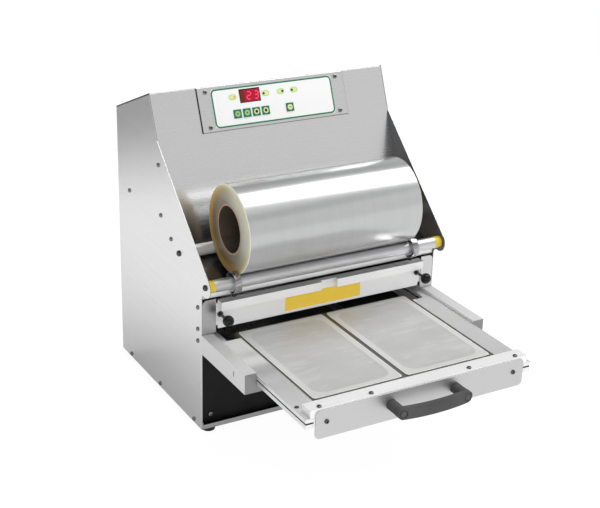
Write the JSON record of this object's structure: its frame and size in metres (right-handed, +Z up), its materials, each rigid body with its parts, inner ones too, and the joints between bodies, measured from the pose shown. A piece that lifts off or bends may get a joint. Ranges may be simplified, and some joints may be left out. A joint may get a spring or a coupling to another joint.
{
  "type": "automatic heat sealer",
  "caption": "Counter-top tray sealer: steel body with sloped control panel, film roll on rollers, sliding tray drawer with handle, guarded slot and heated sealing head.",
  "frame": {"origin": "on the ground under the feet, at the middle of the machine's box with the drawer open", "axes": "+X to the machine's right as seen from its front, +Y from the drawer's handle to the rear, +Z up"},
  "size_m": [0.4514, 0.691, 0.5333],
  "materials": {
    "panel_steel": "brushed stainless sheet",
    "bright_steel": "fine brushed stainless sheet, light",
    "chrome_steel": "polished steel",
    "dark_steel": "blackened steel",
    "black_paint": "black paint, satin",
    "black_gloss": "black moulded plastic, glossy",
    "black_matte": "dark grey glass-filled nylon, matte",
    "white_nylon": "white nylon, matte",
    "bush_brass": "turned bronze",
    "foot_rubber": "black rubber",
    "label_white": "white printed film with a green border",
    "display_red": "dark red display window with lit digits",
    "lamp_green": "pale green lamp lenses",
    "board_green": "green circuit board",
    "key_green": "green keys with pale rings",
    "grey_paint": "grey paint",
    "cast_alloy": "milled or drawn aluminium",
    "bush_yellow": "yellow plastic",
    "clear_film": "wound clear film, glossy",
    "core_card": "brown card tube",
    "tray_plastic": "thin clear-grey food tray",
    "lid_film": "sealed film lid, slightly wrinkled",
    "heater_silicone": "silicone heater mat"
  },
  "bodies": {
    "body": {"left_side_panel": "panel_steel", "right_side_panel": "panel_steel", "base_tray": "panel_steel", "rear_cover": "panel_steel", "top_cover": "panel_steel", "lift_bridge": "panel_steel", "slope_panel": "bright_steel", "film_shelf": "bright_steel", "front_columns": "bright_steel", "film_guard": "bright_steel", "guide_arms": "bright_steel", "control_plate": "bright_steel", "plunger_bushes": "chrome_steel", "body_screws": "chrome_steel", "roller_axles": "dark_steel", "lower_front_panel": "black_paint", "cable_gland": "black_matte", "gland_nut": "black_matte", "drawer_switch": "black_matte", "guide_liners": "white_nylon", "column_bushes": "bush_brass", "rubber_feet": "foot_rubber", "control_label": "label_white", "display_window": "display_red", "indicator_lamps": "lamp_green", "control_board": "board_green", "lift_actuator": "grey_paint", "rewind_bearing": "grey_paint", "rewind_motor": "grey_paint", "power_supply": "cast_alloy"},
    "film": {"film_roll": "clear_film", "film_core": "core_card"},
    "front_roller": {"front_roller": "chrome_steel", "roller_bushes": "bush_yellow"},
    "rear_roller": {"rear_roller": "chrome_steel"},
    "left_collar": {"left_collar": "chrome_steel"},
    "right_collar": {"right_collar": "chrome_steel"},
    "drawer": {"drawer_deck": "bright_steel", "drawer_front": "bright_steel", "drawer_crossbar": "bright_steel", "drawer_rails": "bright_steel", "tray_mould": "cast_alloy", "food_trays": "tray_plastic", "lid_films": "lid_film", "drawer_handle": "black_matte", "handle_caps": "black_matte", "drawer_screws": "dark_steel"},
    "head": {"hot_plate": "cast_alloy", "heater_pad": "heater_silicone", "knife_frame": "bright_steel", "head_carrier": "panel_steel", "head_columns": "chrome_steel"},
    "rewind": {"rewind_shaft": "chrome_steel"},
    "left_plunger": {"left_plunger": "black_gloss"},
    "right_plunger": {"right_plunger": "black_gloss"},
    "menu_key": {"menu_key": "key_green"},
    "down_key": {"down_key": "key_green"},
    "up_key": {"up_key": "key_green"},
    "set_key": {"set_key": "key_green"},
    "start_key": {"start_key": "key_green"}
  },
  "joints": [
    {"name": "drawer_slide", "type": "slide", "parent": "body", "child": "drawer", "axis": [0, 1, 0], "range_m": [0, 0.27]},
    {"name": "head_lift", "type": "slide", "parent": "body", "child": "head", "axis": [0, 0, -1], "range_m": [0, 0.0235]},
    {"name": "film_spin", "type": "hinge", "parent": "body", "child": "film", "pos_m": [0, 0.01577, 0.34992], "axis": [1, 0, 0], "continuous": true},
    {"name": "front_roller_spin", "type": "hinge", "parent": "body", "child": "front_roller", "pos_m": [0, -0.0185, 0.274], "axis": [1, 0, 0], "continuous": true},
    {"name": "rear_roller_spin", "type": "hinge", "parent": "body", "child": "rear_roller", "pos_m": [0, 0.07912, 0.29584], "axis": [1, 0, 0], "continuous": true},
    {"name": "rewind_spin", "type": "hinge", "parent": "body", "child": "rewind", "pos_m": [0, 0.297, 0.212], "axis": [1, 0, 0], "continuous": true},
    {"name": "left_collar_slide", "type": "slide", "parent": "front_roller", "child": "left_collar", "axis": [1, 0, 0], "range_m": [-0.03, 0]},
    {"name": "right_collar_slide", "type": "slide", "parent": "front_roller", "child": "right_collar", "axis": [1, 0, 0], "range_m": [0, 0.039]},
    {"name": "left_plunger_pull", "type": "slide", "parent": "body", "child": "left_plunger", "axis": [0, -1, 0], "range_m": [0, 0.008], "stiffness_N_per_m": 800},
    {"name": "right_plunger_pull", "type": "slide", "parent": "body", "child": "right_plunger", "axis": [0, -1, 0], "range_m": [0, 0.008], "stiffness_N_per_m": 800},
    {"name": "menu_key_press", "type": "slide", "parent": "body", "child": "menu_key", "axis": [0, 0.9232, -0.3843], "range_m": [0, 0.0006], "stiffness_N_per_m": 800},
    {"name": "down_key_press", "type": "slide", "parent": "body", "child": "down_key", "axis": [0, 0.9232, -0.3843], "range_m": [0, 0.0006], "stiffness_N_per_m": 800},
    {"name": "up_key_press", "type": "slide", "parent": "body", "child": "up_key", "axis": [0, 0.9232, -0.3843], "range_m": [0, 0.0006], "stiffness_N_per_m": 800},
    {"name": "set_key_press", "type": "slide", "parent": "body", "child": "set_key", "axis": [0, 0.9232, -0.3843], "range_m": [0, 0.0006], "stiffness_N_per_m": 800},
    {"name": "start_key_press", "type": "slide", "parent": "body", "child": "start_key", "axis": [0, 0.9232, -0.3843], "range_m": [0, 0.0006], "stiffness_N_per_m": 800}
  ],
  "couplings": [
    {"joint": "front_roller_spin", "follows": "film_spin", "ratio": -7.3},
    {"joint": "rear_roller_spin", "follows": "film_spin", "ratio": -7.3}
  ]
}
